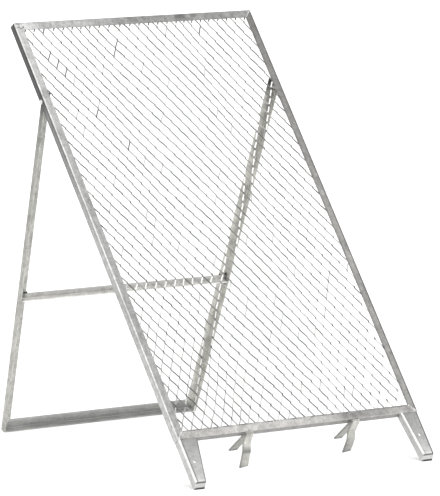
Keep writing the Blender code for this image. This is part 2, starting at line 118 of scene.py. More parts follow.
# ---------------------------------------------------------------- shader nodes
class Shader:
    """Small wrapper that adds and links the nodes of one material."""

    def __init__(self, name):
        self.material = bpy.data.materials.new(name)
        self.material.use_nodes = True
        self.tree = self.material.node_tree
        self.bsdf = self.tree.nodes["Principled BSDF"]
        self.object = self.add("ShaderNodeTexCoord").outputs["Object"]

    def add(self, kind, **settings):
        node = self.tree.nodes.new(kind)
        for key, value in settings.items():
            setattr(node, key, value)
        return node

    def plug(self, socket, value):
        """Link a socket to another one, or set it to a constant."""
        if isinstance(value, bpy.types.NodeSocket):
            self.tree.links.new(value, socket)
        else:
            socket.default_value = value

    def fill(self, node, *values):
        """Plug values into a node's inputs, in order, and give its first output."""
        for socket, value in zip(node.inputs, values):
            self.plug(socket, value)
        return node.outputs[0]

    # plain arithmetic
    def math(self, operation, first, second=0.0, clamp=False):
        node = self.add("ShaderNodeMath", operation=operation, use_clamp=clamp)
        return self.fill(node, first, second)

    def times(self, first, second):
        return self.math("MULTIPLY", first, second)

    def minus(self, first, second):
        return self.math("SUBTRACT", first, second)

    def size(self, value):
        return self.math("ABSOLUTE", value)

    def scaled(self, value, factor, offset):
        node = self.add("ShaderNodeMath", operation="MULTIPLY_ADD")
        return self.fill(node, value, factor, offset)

    def smooth(self, value, low, high, start=0.0, end=1.0):
        """Smooth step from one result to another between two values."""
        node = self.add("ShaderNodeMapRange", interpolation_type="SMOOTHSTEP")
        return self.fill(node, value, low, high, start, end)

    def ramp(self, value, stops):
        """Grey level along a value, from (position, level) pairs."""
        low, high = stops[0][0], stops[-1][0]
        node = self.add("ShaderNodeValToRGB")
        span = self.add("ShaderNodeMapRange")
        self.plug(node.inputs[0], self.fill(span, value, low, high, 0.0, 1.0))
        ramp = node.color_ramp
        while len(ramp.elements) < len(stops):
            ramp.elements.new(0.5)
        for element, (position, grey) in zip(ramp.elements, stops):
            element.position = (position - low) / (high - low)
            element.color = (grey, grey, grey, 1)
        return node.outputs[0]

    def mix(self, factor, first, second):
        """Mix of two grey levels."""
        node = self.add("ShaderNodeMix", data_type="FLOAT")
        self.plug(node.inputs[0], factor)
        self.plug(node.inputs[2], first)
        self.plug(node.inputs[3], second)
        return node.outputs[0]

    # places on the object
    def axes(self, origin, tilt):
        """Coordinates across, into the depth and up a tilted body."""
        mapping = self.add("ShaderNodeMapping", vector_type="TEXTURE")
        self.plug(mapping.inputs["Vector"], self.object)
        mapping.inputs["Location"].default_value = origin
        mapping.inputs["Rotation"].default_value = (tilt, 0, 0)
        split = self.add("ShaderNodeSeparateXYZ")
        self.plug(split.inputs[0], mapping.outputs[0])
        return split.outputs[0], split.outputs[1], split.outputs[2]

    def panel_axes(self):
        return self.axes(ORIGIN, -PANEL_TILT)

    def stand_axes(self):
        return self.axes(HINGE, STAND_TILT)

    # masks: 1 at a place, fading to 0
    def band(self, value, centre, near, far):
        """Close to a value, on both sides."""
        return self.smooth(self.size(self.minus(value, centre)), near, far, 1.0, 0.0)

    def near_line(self, a, b, near, far):
        """Close to the line a = b = 0."""
        square = self.math("ADD", self.times(a, a), self.times(b, b))
        return self.smooth(self.math("SQRT", square), near, far, 1.0, 0.0)

    def near_point(self, point, near, far):
        node = self.add("ShaderNodeVectorMath", operation="DISTANCE")
        self.plug(node.inputs[0], self.object)
        node.inputs[1].default_value = point
        return self.smooth(node.outputs["Value"], near, far, 1.0, 0.0)

    def spot(self, point, size):
        """Soft round spot."""
        return self.near_point(point, size * 0.2, size)

    # changes of a level where a mask is 1
    def toned(self, value, mask, strength, shade):
        """Moved towards a display grey."""
        return self.mix(self.times(mask, strength), value, level(shade))

    def dimmed(self, value, mask, strength):
        """Made darker by a share of itself."""
        return self.times(value, self.minus(1.0, self.times(mask, strength)))

    # textures
    def noise(self, scale, detail=2.0, rough=0.5, vector=None):
        node = self.add("ShaderNodeTexNoise")
        self.plug(node.inputs["Vector"], vector or self.object)
        node.inputs["Scale"].default_value = scale
        node.inputs["Detail"].default_value = detail
        node.inputs["Roughness"].default_value = rough
        return node.outputs[0]

    def spangle(self, scale):
        """Random level of each zinc crystal."""
        node = self.add("ShaderNodeTexVoronoi")
        self.plug(node.inputs["Vector"], self.object)
        node.inputs["Scale"].default_value = scale
        split = self.add("ShaderNodeSeparateColor")
        return self.fill(split, node.outputs["Color"])

    def streaked(self, value, axes, dark, bright, fine=330.0, coarse=22.0, edges=(0.32, 0.62)):
        """A level with streaks along the last of three axes, from a dark to a bright factor."""
        node = self.add("ShaderNodeCombineXYZ")
        drawn_out = self.fill(node, *(self.times(axis, scale)
                                      for axis, scale in zip(axes, (fine, fine, coarse))))
        lines = self.noise(1.0, 3.0, 0.6, drawn_out)
        return self.times(value, self.smooth(lines, *edges, dark, bright))

    def finish(self, value, tint, mottle, roughness=0.42, metallic=METALLIC, blotch=22.0,
               bump=0.35):
        """Zinc of a grey level: broad clouds, crystals and fine speckle over it."""
        cloud = self.noise(blotch, 3.0, 0.6)
        patch = self.noise(75.0, 3.0, 0.65)
        crystal = self.spangle(120.0)
        grain = self.noise(270.0, 2.0, 0.6)
        speckle = self.noise(620.0, 2.0, 0.6)
        total = 0.0
        for layer, weight in ((cloud, 1.3), (patch, 1.4), (crystal, 0.4), (grain, 1.5),
                              (speckle, 0.5)):
            total = self.math("ADD", total, self.scaled(layer, weight, -weight / 2))
        value = self.times(value, self.scaled(total, mottle, 1.0))
        colour = self.add("ShaderNodeCombineColor")
        for socket, part in zip(colour.inputs, tint):
            self.plug(socket, self.math("MULTIPLY", value, part, clamp=True))
        self.plug(self.bsdf.inputs["Base Color"], colour.outputs[0])
        self.bsdf.inputs["Metallic"].default_value = metallic
        self.plug(self.bsdf.inputs["Roughness"], self.scaled(patch, 0.24, roughness - 0.12))
        node = self.add("ShaderNodeBump")
        node.inputs["Strength"].default_value = bump
        node.inputs["Distance"].default_value = 0.0006
        height = self.math("ADD", self.times(patch, 0.6), self.times(speckle, 0.4))
        self.plug(node.inputs["Height"], height)
        self.plug(self.bsdf.inputs["Normal"], node.outputs[0])
        return self.material


# ---------------------------------------------------------------- materials
FOLD = 0.0006                            # a rounded fold's middle, from both of its faces


def side_rail_material(side):
    """Left: light face, side dark at the top and brightening downwards, a painted reflection and
    shade. Right: dark folds and edges, painted shade.
    """
    s = Shader("zinc_rail_" + side)
    x, d, v = s.panel_axes()
    across = s.size(x)
    if side == "left":
        face = s.ramp(v, levels((0.0, 0.70), (0.2, 0.69), (0.42, 0.68), (0.62, 0.71), (0.8, 0.76),
                                (1.0, 0.83)))
        # Painted reflection and shade on the side: dark above the hinge, brightening downwards.
        outer = s.ramp(v, levels((0.0, 0.81), (0.3, 0.77), (0.58, 0.70), (0.65, 0.58),
                                 (0.77, 0.55), (0.805, 0.36), (1.0, 0.36)))
        # Painted shade along the side's front and back edges, under the hinge.
        painted_rim_shade = s.math("MAXIMUM", s.band(d, 0.0045, 0.0008, 0.0030),
                      s.band(d, RAIL_DEPTH, 0.001, 0.004))
        outer = s.dimmed(outer, painted_rim_shade, s.smooth(v, 0.55, 0.80, 0.10, 0.45))
        tint, painted_fold_grey, fold_reach = COOL, 0.95, (0.0007, 0.0022)
    else:
        face = s.ramp(v, levels((0.0, 0.67), (0.5, 0.66), (0.8, 0.59), (1.0, 0.54)))
        # Painted shade along the inner edge, where the sheet goes behind the rail.
        inner = s.band(across, HALF_WIDTH - RAIL_FACE, 0.0012, 0.0045)
        face = s.toned(face, inner, 0.45, 0.45)
        outer = s.ramp(v, levels((0.0, 0.70), (0.5, 0.66), (0.8, 0.50), (1.0, 0.42)))
        tint, painted_fold_grey, fold_reach = WARM, 0.42, (0.0024, 0.0054)
    value = s.mix(s.smooth(across, HALF_WIDTH - 0.0010, HALF_WIDTH - 0.0002), face, outer)
    # Painted highlight along the left rail's outer fold, painted shade along the right rail's.
    fold = s.near_line(s.minus(across, HALF_WIDTH - FOLD), s.minus(d, FOLD), *fold_reach)
    value = s.toned(value, fold, 0.85, painted_fold_grey)
    value = s.streaked(value, (x, d, v), 0.84, 1.06, fine=420.0, coarse=26.0, edges=(0.34, 0.60))
    return s.finish(value, tint, 0.52, blotch=14.0)


def top_rail_material():
    s = Shader("zinc_rail_top")
    x, d, v = s.panel_axes()
    value = s.ramp(x, levels((-0.3, 0.85), (-0.22, 0.80), (-0.1, 0.70), (0.0, 0.67), (0.1, 0.62),
                             (0.3, 0.63)))
    # Painted shade along the top fold.
    fold = s.near_line(s.minus(v, PANEL_LENGTH - 0.0004), s.minus(d, 0.0004), 0.0008, 0.0030)
    value = s.toned(value, fold, 0.75, 0.58)
    for where, size, dark in ((-0.005, 0.022, 0.35), (0.022, 0.010, 0.30), (0.115, 0.020, 0.45),
                              (0.150, 0.012, 0.35), (-0.292, 0.006, 0.45)):
        spot = s.spot(on_panel(where, 0, PANEL_LENGTH - RAIL_FACE * 0.25), size)
        value = s.dimmed(value, spot, dark)
    return s.finish(value, COOL, 0.62, blotch=26.0)


def bottom_rail_material():
    s = Shader("zinc_rail_bottom")
    x, d, v = s.panel_axes()
    face = s.ramp(x, levels((-0.3, 0.74), (-0.18, 0.80), (-0.05, 0.82), (0.06, 0.78),
                            (0.15, 0.66), (0.2, 0.63), (0.25, 0.71), (0.3, 0.68)))
    # Painted shade on the flange that faces down.
    painted_underside_shade = s.smooth(v, 0.0002, 0.0010, 1.0, 0.0)
    value = s.mix(painted_underside_shade, face, level(0.64))
    # Painted highlight along the lower fold.
    fold = s.near_line(s.minus(v, FOLD), s.minus(d, FOLD), 0.0004, 0.0022)
    value = s.toned(value, fold, 0.45, 0.90)
    # Painted shade along the inner edge, broken up by noise.
    inner = s.band(v, RAIL_FACE, 0.0014, 0.0042)
    value = s.toned(value, inner, s.smooth(s.noise(90.0), 0.40, 0.58, 0.25, 1.0), 0.48)
    for where, height, size in ((0.118, 0.012, 0.012), (0.140, 0.010, 0.012),
                                (0.156, 0.013, 0.010)):
        value = s.toned(value, s.spot(on_panel(where, 0, height), size), 0.6, 0.52)
    return s.finish(value, PINK, 0.52, blotch=24.0)


def foot_material(side):
    """Foot with a painted highlight on one fold and painted shade on the other, painted shade where
    the end turns under and a painted shadow under it.
    """
    s = Shader("zinc_foot_" + side)
    x, d, v = s.panel_axes()
    across = s.size(x)
    down = s.times(v, -1 / FOOT_END)
    # Darker at the top, painted shade under the rail; a bright band near the end, a painted
    # highlight.
    face = s.ramp(down, levels((0.0, 0.64), (0.10, 0.66), (0.30, 0.72), (0.65, 0.78),
                               (0.93, 0.82), (0.96, 0.92), (1.0, 0.80)))
    walls = s.smooth(d, 0.0012, 0.0030)
    value = s.mix(walls, face, level(0.83 if side == "left" else 0.79))
    front = s.smooth(d, 0.0006, 0.0018, 1.0, 0.0)
    for edge, (start, end) in (("outer", FOOT_OUTER), ("inner", FOOT_INNER[side])):
        line = s.scaled(down, start - end, HALF_WIDTH - start)
        inwards = s.minus(line, across)
        if edge == "inner":
            inwards = s.times(inwards, -1.0)
        wide = 0.0014 if (edge, side) == ("outer", "right") else 0.0
        # Painted highlight along one fold, painted shade along the other.
        fold = s.near_line(s.minus(inwards, 0.0010), s.minus(d, 0.0010), 0.0016 + wide,
                           0.0032 + wide)
        if edge == ("outer" if side == "left" else "inner"):
            # Painted shade in a line beside the bright fold.
            painted_crease_shade = s.times(s.band(inwards, 0.0056, 0.0006, 0.0018), front)
            value = s.toned(value, painted_crease_shade, 0.8 if edge == "outer" else 0.3, 0.50)
            value = s.mix(fold, value, level(0.99))
        else:
            value = s.mix(fold, value, level(0.46))
    # Painted highlight on the end that turns under, painted shade in its fold, a painted shadow
    # under it.
    painted_end_highlight = s.smooth(v, -FOOT_END - 0.0016, -FOOT_END - 0.0004, 1.0, 0.0)
    value = s.toned(value, painted_end_highlight, s.smooth(d, 0.0155, 0.0165, 1.0, 0.0), 0.86)
    painted_crease_shade = s.band(v, -FOOT_END, 0.0008, 0.0019)
    value = s.toned(value, painted_crease_shade, s.smooth(d, 0.002, 0.004, 1.0, 0.0), 0.48)
    painted_shadow_below = s.smooth(v, -FOOT_END - 0.0078, -FOOT_END - 0.0056, 1.0, 0.0)
    value = s.toned(value, painted_shadow_below, s.smooth(d, 0.0075, 0.0095), 0.22)
    return s.finish(value, COOL, 0.36, roughness=0.36, blotch=14.0)


def prong_material(name, side, stops):
    """Strip of a hook: levels along its reach, darker along its left edge."""
    s = Shader(name + side)
    x, d, _ = s.panel_axes()
    left = HOOK_CENTRES[side] - HOOK_WIDTH / 2
    value = s.ramp(d, stops)
    value = s.mix(s.smooth(x, left + 0.0010, left + 0.0040, 0.6, 0.0), value, level(0.50))
    return s.finish(value, OLIVE, 0.48, roughness=0.40, blotch=45.0)


def front_prong_material(side):
    if side == "left":
        # On the left, the dark band at the bend is painted shade.
        stops = levels((0.0, 0.80), (0.024, 0.81), (0.0295, 0.60), (0.0335, 0.53), (0.037, 0.76),
                       (0.050, 0.79), (0.057, 0.73), (0.063, 0.42), light=1.25)
    else:
        stops = levels((0.0, 0.80), (0.030, 0.76), (0.040, 0.70), (0.060, 0.69), (0.070, 0.42),
                       light=1.22)
    return prong_material("zinc_hook_", side, stops)


def back_prong_material(side):
    stops = levels((0.0, 0.76), (0.045, 0.72), (0.066, 0.66), (0.078, 0.48),
                   light=1.30 if side == "left" else 1.05)
    return prong_material("zinc_prong_", side, stops)


def leg_material(side):
    """Angle bar with a painted shadow at its top, a darker outer side and a painted highlight on
    its rim.

    The left one has a painted highlight where its flanges meet, the right one a faint painted band
    beside it.
    """
    s = Shader("zinc_leg_" + side)
    x, b, up = s.stand_axes()
    inset = s.minus(s.scaled(up, LEG_TAPER, LEG_TOP_X), s.size(x))
    # Painted shadow at the top, where the leg runs in behind the rail.
    value = s.ramp(up, levels((-LEG_LENGTH, 0.72), (-0.45, 0.73), (-0.15, 0.70), (-0.04, 0.66),
                              (-0.012, 0.60), (-0.002, 0.38), (0.010, 0.36),
                              light=1.12 if side == "left" else 0.95))
    outside = s.ramp(up, levels((-LEG_LENGTH, 0.74), (-0.45, 0.72), (-0.20, 0.67), (-0.05, 0.60),
                                (-0.02, 0.42), (0.01, 0.30), light=1.36))
    value = s.mix(s.smooth(inset, 0.0003, 0.0010, 1.0, 0.0), value, outside)
    # Painted highlight along the fold where the flanges meet; on the right a faint band beside it.
    if side == "left":
        shine = s.near_line(s.minus(inset, WALL), s.minus(b, STAND_BACK - WALL), 0.0008, 0.0024)
    else:
        shine = s.times(s.band(b, STAND_BACK - WALL - 0.0080, 0.0012, 0.0026),
                        s.smooth(inset, WALL + 0.0005, WALL + 0.0015, 1.7, 0.0))
    value = s.toned(value, shine, 0.5, 0.92)
    # Painted highlight along the front edge of the outer flange.
    rim = s.near_line(s.minus(inset, WALL / 2), s.minus(b, STAND_BACK - STAND_SIDE),
                      0.0016, 0.0026)
    value = s.toned(value, rim, 0.6, 0.84)
    joint = s.times(s.band(up, CROSSBAR_FACE + 0.004 - CROSSBAR_DROP, 0.002, 0.008),
                    s.smooth(inset, WALL, WALL + 0.004))
    value = s.toned(value, joint, 0.55 if side == "left" else 0.12, 0.38)
    value = s.streaked(value, (x, b, up), 0.86, 1.07)
    return s.finish(value, OLIVE, 0.56)


def crossbar_material():
    """Pale lower flange and darker upright flange, painted light and shade; both ends of the
    upright flange darker.
    """
    s = Shader("zinc_crossbar")
    x, b, up = s.stand_axes()
    lower = WALL - CROSSBAR_DROP         # top of the lower flange
    reach = LEG_TOP_X - LEG_TAPER * CROSSBAR_DROP
    flange = s.smooth(up, lower, lower + 0.0008, 1.0, 0.0)
    # Painted light and shade: the lower flange, facing up, pale; the upright flange darker.
    value = s.mix(flange, level(0.655, 0.90), level(0.87, 1.00))
    upright = s.smooth(up, lower + 0.001, lower + 0.003)
    ends = s.smooth(s.size(x), reach - STAND_FACE - 0.001, reach - STAND_FACE + 0.008)
    strength = s.times(upright, s.smooth(x, -0.1, 0.1, 0.75, 0.35))
    value = s.toned(value, ends, strength, 0.40)
    value = s.streaked(value, (up, b, x), 0.84, 1.06)
    return s.finish(value, WARM, 0.30)


def bottom_bar_material():
    s = Shader("zinc_bottom_bar")
    x, b, up = s.stand_axes()
    height = s.math("ADD", up, LEG_LENGTH)
    value = s.ramp(height, levels((0.0, 0.58), (0.003, 0.59), (0.0045, 0.56), (0.014, 0.56),
                                  (BOTTOM_BAR_FACE, 0.62), light=0.90))
    value = s.times(value, s.smooth(x, -0.25, -0.14, 1.22, 1.0))
    value = s.streaked(value, (up, b, x), 0.82, 1.08)
    return s.finish(value, GREEN, 0.30, roughness=0.45)


def weld_material(name, shade, dark):
    """Bright ripples of a galvanised weld with darker pits."""
    s = Shader(name)
    pits = s.smooth(s.noise(260.0, 2.0), 0.55, 0.68)
    value = s.mix(pits, level(shade), level(dark))
    return s.finish(value, COOL, 0.30, roughness=0.34, blotch=14.0, bump=0.5)


def fastener_material():
    s = Shader("bright_zinc")
    value = s.mix(s.noise(300.0), level(0.90), level(1.0))
    return s.finish(value, COOL, 0.15, roughness=0.30, blotch=14.0)


def strand_material():
    """Sheet strands: each vertex's own tone, mottled."""
    s = Shader("zinc_mesh")
    tone = s.add("ShaderNodeAttribute", attribute_name="tone").outputs["Fac"]
    return s.finish(tone, COOL, 0.30, roughness=0.5, metallic=0.4, blotch=40.0)


def floor_material():
    s = Shader("pale_floor")
    value = s.mix(s.noise(3.0, 3.0), 0.96, 0.98)
    colour = s.add("ShaderNodeCombineColor")
    s.plug(s.bsdf.inputs["Base Color"], s.fill(colour, value, value, value))
    s.bsdf.inputs["Roughness"].default_value = 0.9
    s.bsdf.inputs["Specular IOR Level"].default_value = 0.1
    return s.material


def dress_cad():
    materials = {
        "frame_rail_left": side_rail_material("left"),
        "frame_rail_right": side_rail_material("right"),
        "frame_rail_top": top_rail_material(),
        "frame_rail_bottom": bottom_rail_material(),
        "stand_crossbar": crossbar_material(),
        "stand_bottom_bar": bottom_bar_material(),
    }
    for side in SIDES:
        materials["foot_" + side] = foot_material(side)
        materials["hook_front_prong_" + side] = front_prong_material(side)
        materials["hook_back_prong_" + side] = back_prong_material(side)
        materials["stand_leg_" + side] = leg_material(side)
    bright = fastener_material()
    for name, node in NODES.items():
        material = materials.get(name, bright)
        for slot in node.material_slots:
            slot.material = material


# ---------------------------------------------------------------- shared mesh work
BEAD_SIDES = 10
BEAD_STEP = 0.0006
BEAD_RIPPLE = 0.0014                     # length of one ripple


def new_piece(name, bm, material, body, sharp=40):
    mesh = bpy.data.meshes.new(name)
    bm.to_mesh(mesh)
    bm.free()
    mesh.materials.append(material)
    mesh.shade_smooth()
    mesh.set_sharp_from_angle(angle=math.radians(sharp))
    piece = bpy.data.objects.new(name, mesh)
    bpy.context.scene.collection.objects.link(piece)
    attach(piece, body)
    return piece


def add_walls(bm, rings):
    """Faces between successive rings of the same number of corners."""
    for one, two in zip(rings, rings[1:]):
        count = len(one)
        for k in range(count):
            bm.faces.new((one[k], one[(k + 1) % count], two[(k + 1) % count], two[k]))


def bead(bm, path, radius):
    """Rippled weld bead along a path, tapering at both ends."""
    dense = []
    for p, q in zip(path, path[1:]):
        count = max(2, int((q - p).length / BEAD_STEP))
        dense += [p.lerp(q, i / count) for i in range(count)]
    dense.append(path[-1])
    travelled = 0.0
    length = sum((q - p).length for p, q in zip(dense, dense[1:]))
    rings = []
    for i, point in enumerate(dense):
        if i:
            travelled += (point - dense[i - 1]).length
        along = (dense[min(i + 1, len(dense) - 1)] - dense[max(i - 1, 0)]).normalized()
        side = along.orthogonal().normalized()
        across = along.cross(side)
        end = min(travelled, length - travelled)
        size = radius * math.sqrt(min(1.0, 0.12 + end / (radius * 1.6)))
        size *= 1 + 0.13 * math.sin(travelled / BEAD_RIPPLE * 2 * math.pi)
        ring = []
        for k in range(BEAD_SIDES):
            angle = 2 * math.pi * k / BEAD_SIDES
            out = side * math.cos(angle) + across * math.sin(angle)
            lump = 1 + 0.35 * noise.noise((point + out * radius) * 420)
            ring.append(bm.verts.new(point + out * size * lump))
        rings.append(ring)
    add_walls(bm, rings)
    bm.faces.new(rings[0][::-1])
    bm.faces.new(rings[-1])


def blob(bm, centre, size, draw):
    """Lumpy drop of weld metal or zinc."""
    made = bmesh.ops.create_icosphere(bm, subdivisions=2, radius=1)["verts"]
    stretch = Vector([draw.uniform(0.75, 1.2) for _ in range(3)])
    turn = Matrix.Rotation(draw.uniform(0, math.pi), 3, Vector((0.3, 0.5, 0.8)))
    for vert in made:
        lump = 1 + 0.3 * noise.noise(vert.co * 1.4 + centre * 90)
        stretched = Vector([a * b for a, b in zip(vert.co, stretch)])
        vert.co = centre + turn @ stretched * size * lump


# ---------------------------------------------------------------- the sheet of expanded metal
# A lattice of bonds, each joined to its four neighbours by strands
BOND_PITCH_X = 0.0116
BOND_PITCH_V = 0.02072
BOND_X = 0.0262 - HALF_WIDTH             # a bond's place from the panel's middle line
BOND_V = 0.0125
BOND_SHIFT_X = 0.0005                    # the most that a bond is off its place
BOND_SHIFT_V = 0.0006
BOND_LEAN = 0.10
BOND_HALF = 0.0019
BOND_WIDTH = 0.0018                      # of each half of a bond
BOND_STEP = 0.0005                       # its sides are this far before and behind its middle
BOND_TONES = (0.06, 0.22)
BOND_OUTLINE = ((-1, 1), (0, 1), (1, 1), (1, -1), (0, -1), (-1, -1))
STRAND_WIDTH = 0.0025
STRAND_THICK = 0.0011
STRAND_BOW = 0.0004
STRAND_STEPS = 8
STRAND_TWIST = {-1: math.radians(-18), 1: math.radians(12)}
SHEET_DEPTH = 0.0019
TUCK = 0.0006                            # how far the sheet reaches behind the rails' faces
WINDOW_X = HALF_WIDTH - RAIL_FACE + TUCK
WINDOW_LOW = RAIL_FACE - TUCK
WINDOW_HIGH = PANEL_LENGTH - RAIL_FACE + TUCK
DARK_TONE = 0.22                         # strands that rise to the left, painted shade of their tilted faces
DARK_TONE_SPREAD = (0.45, 0.7, 0.9, 1.05, 1.2, 1.4)
PALE_TONE = 0.95                         # strands that rise to the right, a painted highlight lost against the floor
SEEN_TONE = 0.44                         # the same near the foot
ODD_TONE = 0.50                          # a few of them anywhere
ODD_SHARE = 0.04
DARK_PATCH_TONE = 0.12
FLANGE_SHADOW_TONE = 0.07                         # painted shadow of the top rail's flange, where strands bend under it
FLANGE_SHADOW_FROM = PANEL_LENGTH - RAIL_FACE - 0.0060
DARK_PATCH_CELLS = (                           # strands coloured dark in these patches: (x, v, radius)
    (-0.245, 0.911, 0.010), (-0.232, 0.892, 0.009), (-0.222, 0.874, 0.008),
    (-0.240, 0.972, 0.009), (-0.075, 0.923, 0.018), (-0.118, 0.960, 0.009),
    (-0.192, 0.776, 0.009), (-0.137, 0.684, 0.009), (0.141, 0.955, 0.009),
)
WAVE_SEED = 1                            # noise_vector is seeded by the clock without it
STRETCH = (                              # how far the sheet is pulled sideways: (x, shift)
    (-0.30, 0.000), (-0.26, 0.000), (-0.18, 0.003), (-0.10, 0.000), (-0.01, 0.008),
    (0.08, 0.009), (0.16, 0.001), (0.30, 0.000),
)


def limited(value):
    return min(1.0, max(0.0, value))


def sideways(x):
    for (x1, s1), (x2, s2) in zip(STRETCH, STRETCH[1:]):
        if x <= x2:
            t = limited((x - x1) / (x2 - x1))
            return s1 + (s2 - s1) * t * t * (3 - 2 * t)
    return 0.0


def sheet_point(x, v, depth):
    """A point of the sheet, with its long waves and the pull at its top edge."""
    wave = noise.noise_vector(Vector((x * 7, v * 7, 0.3)))
    ripple = noise.noise_vector(Vector((x * 34, v * 30, 5.1)))
    x += sideways(x) + wave.x * 0.0018 + ripple.x * 0.0010
    v += wave.y * 0.0022 + ripple.y * 0.0010 + 0.004 * limited((v - 0.945) / 0.03)
    return on_panel(x, SHEET_DEPTH + depth + wave.z * 0.0010, v)


def strand_tone(x, v, rising, draw):
    """Base colour of a strand: painted shade for one direction, a painted highlight for the other,
    changed by its place on the panel.
    """
    along = (x + HALF_WIDTH) / (2 * HALF_WIDTH)
    if rising < 0:
        fade = 1 + 1.6 * max(0.0, along - 0.55) * max(0.0, 1 - v / 0.55) * 2
        return DARK_TONE * draw.choice(DARK_TONE_SPREAD) * fade
    if min(math.hypot(x - a, v - b) / r for a, b, r in DARK_PATCH_CELLS) < 1:
        return DARK_PATCH_TONE
    if draw.random() < ODD_SHARE:
        return ODD_TONE
    from_left = x + HALF_WIDTH
    corner = min(1.0, 1.5 * max(0.0, 1 - v / 0.52) * max(0.0, 1 - from_left / 0.46))
    foot = min(1.0, 1.3 * max(0.0, 1 - v / 0.14) * (1 - from_left / 0.9))
    seen = max(corner, foot)
    return (1 - seen) * PALE_TONE + seen * SEEN_TONE * draw.uniform(0.7, 1.3)


def add_bond(bm, tone, x, v, lean, shade):
    """Small block where four strands meet: its twelve corners, the front layer first."""
    corners = []
    for layer in (-0.5, 0.5):
        for a, c in BOND_OUTLINE:
            across = x + a * BOND_WIDTH + lean * c * BOND_HALF
            vert = bm.verts.new(sheet_point(across, v + c * BOND_HALF,
                                            a * BOND_STEP + layer * STRAND_THICK))
            vert[tone] = shade
            corners.append(vert)
    f, b = corners[:6], corners[6:]
    for ring in ((f[0], f[1], f[4], f[5]), (f[1], f[2], f[3], f[4]),
                 (b[5], b[4], b[1], b[0]), (b[4], b[3], b[2], b[1]),
                 (f[5], b[5], b[0], f[0]), (f[2], b[2], b[3], f[3])):
        bm.faces.new(ring)
    return corners


def centre_of(verts):
    a, b, c, d = [vert.co.copy() for vert in verts]
    return (a + b + c + d) / 4


def join_strand(bm, tone, start, end, rising, shade, bow):
    """Twisted strip between two bonds' edges, leaving and meeting them upright."""
    first = centre_of(start)
    chord = centre_of(end) - first
    flat = Vector((1, 0, 0))
    twist = STRAND_TWIST[rising]
    rings = [start]
    for k in range(1, STRAND_STEPS):
        s = k / STRAND_STEPS
        ease = s * s * (3 - 2 * s)
        travel = 0.75 * s + 0.25 * ease
        middle = first + SLOPE * chord.dot(SLOPE) * s + DEPTH * chord.dot(DEPTH) * s
        middle += flat * (chord.x * travel + bow * math.sin(math.pi * s))
        steep = chord.x * (0.75 + 1.5 * s * (1 - s))
        along = (SLOPE * chord.dot(SLOPE) + flat * steep).normalized()
        side = along.cross(DEPTH).normalized()
        if side.x < 0:
            side = -side
        blend = math.sin(math.pi * s) ** 0.7
        width = flat * (1 - blend) + (side * math.cos(twist) + DEPTH * math.sin(twist)) * blend
        width = width.normalized() * STRAND_WIDTH / 2
        face = along.cross(width).normalized()
        if face.dot(DEPTH) < 0:
            face = -face
        half = face * STRAND_THICK / 2
        ring = []
        for corner in (-width - half, width - half, width + half, -width + half):
            vert = bm.verts.new(middle + corner)
            # Painted shadow of the top rail's flange on the strands that rise to the right.
            in_flange_shadow = rising > 0 and (vert.co - ORIGIN).dot(SLOPE) > FLANGE_SHADOW_FROM
            vert[tone] = FLANGE_SHADOW_TONE if in_flange_shadow else shade
            ring.append(vert)
        rings.append(ring)
    rings.append(end)
    add_walls(bm, rings)


def cut_to_window(bm):
    """Trim the sheet a little behind the rails' faces and close the cuts."""
    for point, normal in ((on_panel(-WINDOW_X, 0, 0), Vector((-1, 0, 0))),
                          (on_panel(WINDOW_X, 0, 0), Vector((1, 0, 0))),
                          (on_panel(0, 0, WINDOW_LOW), -SLOPE),
                          (on_panel(0, 0, WINDOW_HIGH), SLOPE)):
        cut = bmesh.ops.bisect_plane(bm, geom=bm.verts[:] + bm.edges[:] + bm.faces[:],
                                     dist=0.0000005, plane_co=point, plane_no=normal,
                                     clear_outer=True)
        edges = [item for item in cut["geom_cut"] if isinstance(item, bmesh.types.BMEdge)]
        bmesh.ops.holes_fill(bm, edges=edges)


def make_strands():
    noise.seed_set(WAVE_SEED)
    draw = random.Random(11)
    bm = bmesh.new()
    tone = bm.verts.layers.float.new("tone")
    bonds = {}
    for i in range(-3, int(2 * HALF_WIDTH / BOND_PITCH_X) + 1):
        for j in range(-3, int(PANEL_LENGTH / BOND_PITCH_V) + 2):
            if (i + j) % 2 == 0:
                continue
            x = BOND_X + i * BOND_PITCH_X + draw.uniform(-BOND_SHIFT_X, BOND_SHIFT_X)
            v = BOND_V + j * BOND_PITCH_V + draw.uniform(-BOND_SHIFT_V, BOND_SHIFT_V)
            lean = draw.uniform(-BOND_LEAN, BOND_LEAN)
            shade = draw.uniform(*BOND_TONES)
            bonds[i, j] = (add_bond(bm, tone, x, v, lean, shade), x, v)
    for (i, j), (low, x, v) in bonds.items():
        for rising, first, last in ((-1, (0, 1), (4, 3)), (1, (1, 2), (5, 4))):
            if (i + rising, j + 1) not in bonds:
                continue
            high, x2, v2 = bonds[i + rising, j + 1]
            shade = strand_tone((x + x2) / 2, (v + v2) / 2, rising, draw)
            start = [low[first[0]], low[first[1]], low[first[1] + 6], low[first[0] + 6]]
            end = [high[last[0]], high[last[1]], high[last[1] + 6], high[last[0] + 6]]
            join_strand(bm, tone, start, end, rising, shade, draw.uniform(-STRAND_BOW, STRAND_BOW))
    cut_to_window(bm)
    bmesh.ops.recalc_face_normals(bm, faces=bm.faces)
    piece = new_piece("sieve_strands", bm, strand_material(), "panel", 50)
    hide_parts("sieve_mesh")


